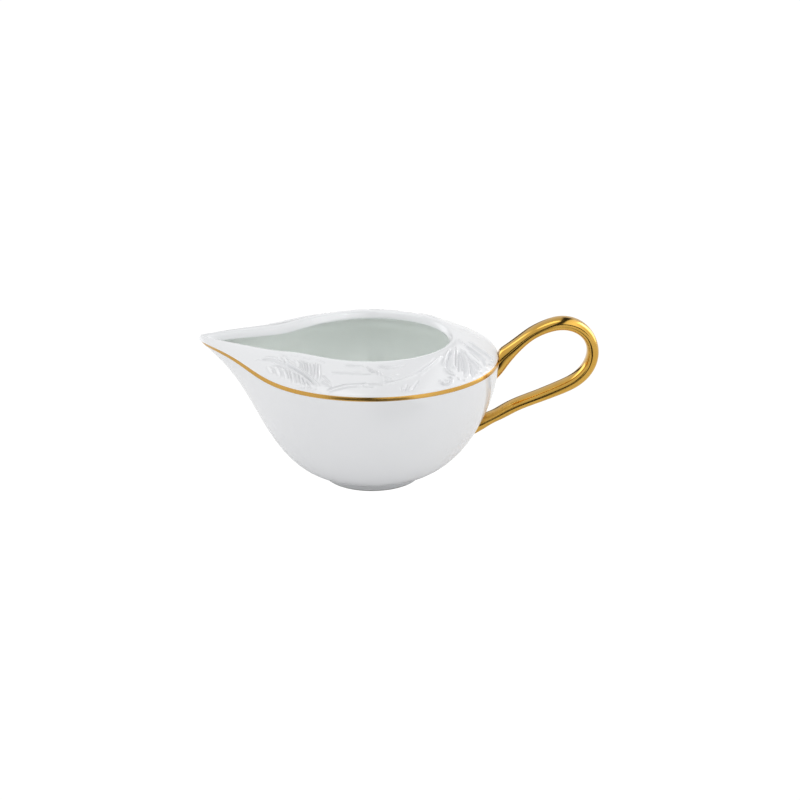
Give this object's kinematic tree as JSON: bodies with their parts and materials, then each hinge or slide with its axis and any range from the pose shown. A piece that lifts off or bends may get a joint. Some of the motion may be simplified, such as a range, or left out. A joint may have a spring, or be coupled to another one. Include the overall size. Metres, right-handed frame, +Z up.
{
  "type": "porcelain cream jug",
  "caption": "Round porcelain cream jug with a relief shoulder, a long pointed pouring spout, a gold line round its widest edge and a gilded loop handle.",
  "frame": {"origin": "centre of the foot ring's standing edge, on the surface the jug stands on", "axes": "+Z up out of the mouth, +X towards the handle with the spout towards -X, Y across the jug"},
  "size_m": [0.1634, 0.1049, 0.0686],
  "materials": {
    "white_glaze": "gloss",
    "biscuit": "matte",
    "gold_leaf": "satin",
    "gilding": "polished"
  },
  "bodies": {
    "root": {"body": "white_glaze", "foot_ring": "biscuit", "gold_line": "gold_leaf", "handle": "gilding", "upper_slip_joint": "gilding", "lower_slip_joint": "gilding"}
  },
  "joints": []
}
